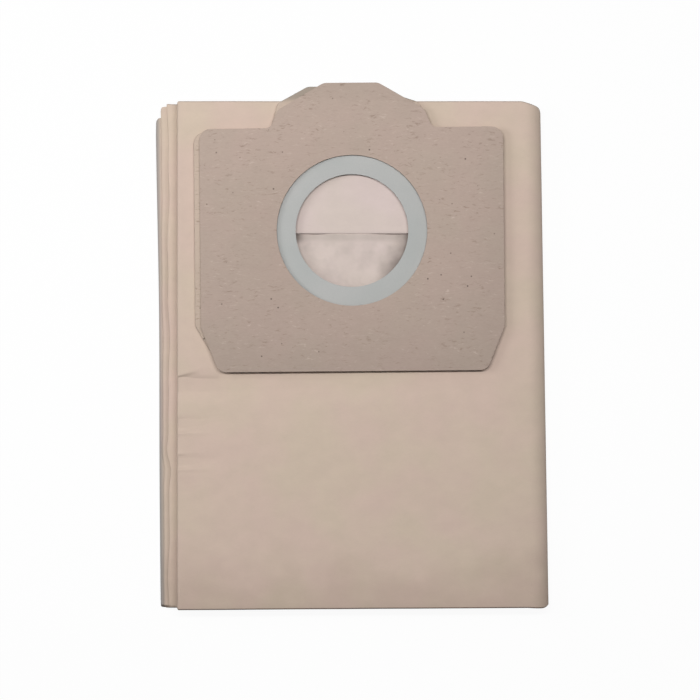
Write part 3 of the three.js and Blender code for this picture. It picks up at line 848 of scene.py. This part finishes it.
def board_material(name, rosy, sandy, cut_tone, tab_shade_tone, tab_shade_face, seed):
    """Pressed fibreboard: close tones, bent dark and pale fibres, dark flecks and a layered cut edge.

    Painted shade: its cut edge, and a share of its face, darken where the pull tab stands out above the bag.
    """
    material, tree, shader, place = new_material(name)
    broad = put_group(tree, felted_fibres, {
        "Position": place, "Fibre size": (7 * MM, 4 * MM, 4 * MM), "Cloud size": 20 * MM, "Seed": seed})
    fine = put_group(tree, felted_fibres, {
        "Position": place, "Fibre size": (1.6 * MM, 0.45 * MM, 0.3 * MM), "Cloud size": 3 * MM,
        "Seed": seed + 4})
    tone = blend(tree, stretch(tree, broad["Clouds"], 0.38, 0.62), rosy, sandy)
    tone = shade(tree, tone, broad["Streaks"], 0.98, 1.02)
    tone = shade(tree, tone, fine["Streaks"], 0.97, 1.03)
    height = add_node(tree, "ShaderNodeSeparateXYZ", {0: place}).outputs["Y"]
    # Painted shade: the face darkens toward the board's lower edge, where the lamps' light falls off.
    tone = blend(tree, 1.0, tone, stretch(tree, height, -5 * MM, 95 * MM, 0.88, 1.0), "MULTIPLY")
    bent = wavy_place(tree, place, 3 * MM, 2.2 * MM)
    marks = put_group(tree, felted_fibres, {
        "Position": bent, "Fibre size": (3.2 * MM, 0.7 * MM, 2 * MM), "Cloud size": 8 * MM, "Seed": seed + 7})
    gathered = stretch(tree, marks["Clouds"], 0.42, 0.58, 0.25, 1.0)
    dark_fibres = calc(tree, "MULTIPLY", stretch(tree, marks["Streaks"], 0.58, 0.68), gathered)
    tone = blend(tree, calc(tree, "MULTIPLY", dark_fibres, 0.65), tone, paint("857265"))
    pale_fibres = calc(tree, "MULTIPLY", stretch(tree, marks["Streaks"], 0.4, 0.31), gathered)
    tone = blend(tree, calc(tree, "MULTIPLY", pale_fibres, 0.4), tone, paint("cdbcb0"))
    flecks = put_group(tree, specks, {
        "Position": place, "Spacing": (6 * MM, 6 * MM, 12 * MM), "Size": 0.08, "Share": 0.8})["Mask"]
    tone = blend(tree, calc(tree, "MULTIPLY", flecks, 0.8), tone, paint("3c312b"))
    normal = add_node(tree, "ShaderNodeNewGeometry").outputs["Normal"]
    upright = add_node(tree, "ShaderNodeSeparateXYZ", {0: normal}).outputs["Z"]
    cut_edge = stretch(tree, calc(tree, "ABSOLUTE", upright), 0.97, 0.6)
    layers = add_node(tree, "ShaderNodeTexNoise", {
        "Vector": add_node(tree, "ShaderNodeVectorMath", {0: place, 1: (60, 60, 1500)},
                           operation="MULTIPLY").outputs[0], "Scale": 4.0}).outputs[0]
    side_tone = shade(tree, cut_tone, layers, 0.85, 1.1)
    painted_tab_shade = smooth_step(tree, height, top_edge + bag_middle_y - 1 * MM, top_edge + bag_middle_y + 2 * MM)
    side_tone = blend(tree, painted_tab_shade, side_tone, shade(tree, tab_shade_tone, layers, 0.85, 1.1))
    tone = blend(tree, calc(tree, "MULTIPLY", painted_tab_shade, tab_shade_face), tone, tab_shade_tone)
    tone = blend(tree, cut_edge, tone, side_tone)
    tree.links.new(tone, shader.inputs["Base Color"])
    tree.links.new(stretch(tree, fine["Streaks"], 0, 1, 0.95, 0.85), shader.inputs["Roughness"])
    shader.inputs["Specular IOR Level"].default_value = 0.25
    relief = calc(tree, "MULTIPLY_ADD", dark_fibres, -0.5, fine["Streaks"])
    bump = add_node(tree, "ShaderNodeBump", {"Strength": 0.3, "Distance": 0.06 * MM, "Height": relief})
    tree.links.new(bump.outputs[0], shader.inputs["Normal"])
    return material


backing_card = board_material("backing_fibreboard", paint("bfad9e"), paint("bcaa9b"), paint("b09f91"),
                              paint("62645e"), 0.45, 5.0)
backing_board = cut_board("backing_card", "backing_board", PRESSED_EDGE)
backing_board.data.materials.append(backing_card)


# Rubber seal
# A flat ring of light grey sheet rubber in a round seat of the backing board, held down by the front board.
# It reaches inside the mouth and closes round the hose inlet.

seal_rubber, seal_nodes, seal_shader, seal_place = new_material("grey_sheet_rubber")
rubber_grain = put_group(seal_nodes, felted_fibres, {
    "Position": seal_place, "Fibre size": (0.6 * MM, 0.6 * MM, 0.6 * MM), "Cloud size": 18 * MM, "Seed": 2.0})
rubber_tone = blend(seal_nodes, stretch(seal_nodes, rubber_grain["Clouds"], 0.35, 0.65),
                    paint("b3b3b1"), paint("adafad"))
rubber_tone = blend(seal_nodes, stretch(seal_nodes, rubber_grain["Streaks"], 0.3, 0.7, 0.0, 0.35),
                    rubber_tone, paint("a5a6a4"))
seal_normal = add_node(seal_nodes, "ShaderNodeNewGeometry").outputs["Normal"]
seal_upright = add_node(seal_nodes, "ShaderNodeSeparateXYZ", {0: seal_normal}).outputs["Z"]
# Painted highlight: the seal's steep rims take a paler grey.
painted_rim_highlight = stretch(seal_nodes, calc(seal_nodes, "ABSOLUTE", seal_upright), 0.95, 0.5, 0.0, 0.5)
rubber_tone = blend(seal_nodes, painted_rim_highlight, rubber_tone, paint("c6c7c4"))
seal_axes = add_node(seal_nodes, "ShaderNodeSeparateXYZ", {0: seal_place}).outputs
# Painted shade: the seal darkens toward its lower right, away from the lamps.
diagonal = calc(seal_nodes, "SUBTRACT", seal_axes["Y"], seal_axes["X"])
painted_diagonal_shade = stretch(seal_nodes, diagonal, mouth.y - mouth.x - 28 * MM, mouth.y - mouth.x + 28 * MM, 0.935, 1.0)
rubber_tone = blend(seal_nodes, 1.0, rubber_tone, painted_diagonal_shade, "MULTIPLY")
seal_nodes.links.new(rubber_tone, seal_shader.inputs["Base Color"])
seal_nodes.links.new(stretch(seal_nodes, rubber_grain["Clouds"], 0.3, 0.7, 0.7, 0.8),
                     seal_shader.inputs["Roughness"])
seal_shader.inputs["Specular IOR Level"].default_value = 0.2
rubber_bump = add_node(seal_nodes, "ShaderNodeBump", {
    "Strength": 0.2, "Distance": 0.03 * MM, "Height": rubber_grain["Streaks"]})
seal_nodes.links.new(rubber_bump.outputs[0], seal_shader.inputs["Normal"])
seal_ring = cut_board("rubber_seal", "seal_membrane", 0.15 * MM)
seal_ring.data.materials.append(seal_rubber)


# Front board of the collar
# The upper fibreboard, with the pull tab, chamfered lower corners and a round window over the seal. It is
# glued to the backing board round the seal.

BOARD_EDGE = 0.12 * MM

front_card = board_material("front_fibreboard", paint("b19e93"), paint("af9e92"), paint("9d8e83"),
                            paint("8f8278"), 0.08, 11.0)
front_board = cut_board("front_card", "front_board", BOARD_EDGE)
front_board.data.materials.append(front_card)


# Floor, light and camera
# A plain white floor, a key lamp a little toward the bag's top edge, a weaker lamp at its left, a pale
# surround, and a camera that looks straight down.

FIELD_WIDTH = 301.35 * MM
CAMERA_HEIGHT = 0.8
CAMERA_AIM = Vector((-0.7 * MM, -1.5 * MM, 0))
SENSOR = 36
KEY_ANGLE = 12
KEY_DISTANCE = 0.6
KEY_SIZE = (0.44, 0.045)
KEY_POWER = 2.98
SIDE_PLACE = Vector((-0.45, 0.12, 0.4))
SIDE_SIZE = (0.25, 0.25)
SIDE_POWER = 0.95
SURROUND = 0.13
FLOOR_TONE = (0.85, 0.85, 0.85, 1)
FLOOR_GLOW = 0.94

floor_shape = bmesh.new()
bmesh.ops.create_grid(floor_shape, x_segments=1, y_segments=1, size=2.0)
floor_mesh = bpy.data.meshes.new("floor")
floor_shape.to_mesh(floor_mesh)
floor_shape.free()
floor = bpy.data.objects.new("floor", floor_mesh)
bpy.context.collection.objects.link(floor)
white, white_nodes, white_shader, _ = new_material("white_floor")
white_shader.inputs["Base Color"].default_value = FLOOR_TONE
white_shader.inputs["Roughness"].default_value = 0.9
white_shader.inputs["Specular IOR Level"].default_value = 0.0
path = add_node(white_nodes, "ShaderNodeLightPath").outputs
seen = calc(white_nodes, "MAXIMUM", path["Is Camera Ray"], path["Is Glossy Ray"])
glow = add_node(white_nodes, "ShaderNodeEmission", {"Color": (1, 1, 1, 1), "Strength": 1.0})
plain = add_node(white_nodes, "ShaderNodeBsdfDiffuse", {"Color": FLOOR_TONE})
bright = add_node(
    white_nodes, "ShaderNodeMixShader", {0: FLOOR_GLOW, 1: plain.outputs[0], 2: glow.outputs[0]})
choice = add_node(
    white_nodes, "ShaderNodeMixShader", {0: seen, 1: plain.outputs[0], 2: bright.outputs[0]})
white_nodes.links.new(choice.outputs[0], white_nodes.nodes["Material Output"].inputs["Surface"])
floor.data.materials.append(white)

scene = bpy.context.scene
scene.view_settings.view_transform = "Standard"
world = bpy.data.worlds.new("surround")
scene.world = world
world.use_nodes = True
surround = world.node_tree.nodes["Background"]
surround.inputs["Color"].default_value = (1.0, 1.0, 1.0, 1)
seen_directly = add_node(world.node_tree, "ShaderNodeLightPath").outputs["Is Camera Ray"]
surround_strength = stretch(world.node_tree, seen_directly, 0.0, 1.0, SURROUND, 1.0)
world.node_tree.links.new(surround_strength, surround.inputs["Strength"])


def add_lamp(name, place, size, power):
    """A rectangular soft lamp that faces the middle of the bag."""
    data = bpy.data.lights.new(name, "AREA")
    data.shape = "RECTANGLE"
    data.size, data.size_y = size
    data.energy = power
    lamp = bpy.data.objects.new(name, data)
    bpy.context.collection.objects.link(lamp)
    lamp.location = place
    lamp.rotation_euler = (Vector((0, 0, face_level)) - place).to_track_quat("-Z", "Y").to_euler()


key_angle = math.radians(KEY_ANGLE)
key_place = Vector((0, KEY_DISTANCE * math.sin(key_angle), face_level + KEY_DISTANCE * math.cos(key_angle)))
add_lamp("key_lamp", key_place, KEY_SIZE, KEY_POWER)
add_lamp("side_lamp", SIDE_PLACE, SIDE_SIZE, SIDE_POWER)

camera_data = bpy.data.cameras.new("camera")
camera_data.sensor_width = SENSOR
camera_data.lens = SENSOR * CAMERA_HEIGHT / FIELD_WIDTH
camera = bpy.data.objects.new("camera", camera_data)
bpy.context.collection.objects.link(camera)
camera.location = CAMERA_AIM + Vector((0, 0, face_level + CAMERA_HEIGHT))
scene.camera = camera
